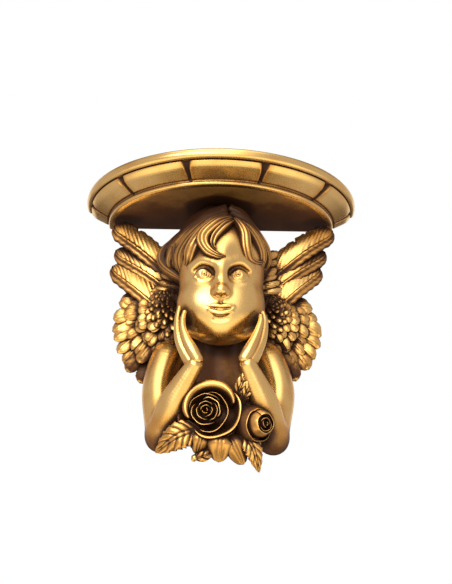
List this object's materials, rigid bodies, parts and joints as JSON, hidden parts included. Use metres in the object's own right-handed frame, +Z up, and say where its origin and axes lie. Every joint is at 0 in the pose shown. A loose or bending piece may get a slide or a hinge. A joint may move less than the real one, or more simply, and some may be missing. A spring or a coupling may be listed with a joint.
{
  "type": "figural wall corbel",
  "caption": "Half-round wall shelf with a block moulding, carried by a gilded cherub whose wings spread under it and who leans on its elbows behind a rose, a rosebud and leaves.",
  "frame": {"origin": "middle of the flat back, on the centre line, level with the underside of the shelf", "axes": "+Y straight into the wall, so the figure looks along -Y; +Z up, square to the shelf's top; +X to the right as seen from the front"},
  "size_m": [0.272, 0.134, 0.286],
  "materials": {
    "gilding": "antiqued gold paint, rubbed back over a dark brown ground"
  },
  "bodies": {
    "root": {"angel_corbel": "gilding"}
  },
  "joints": []
}
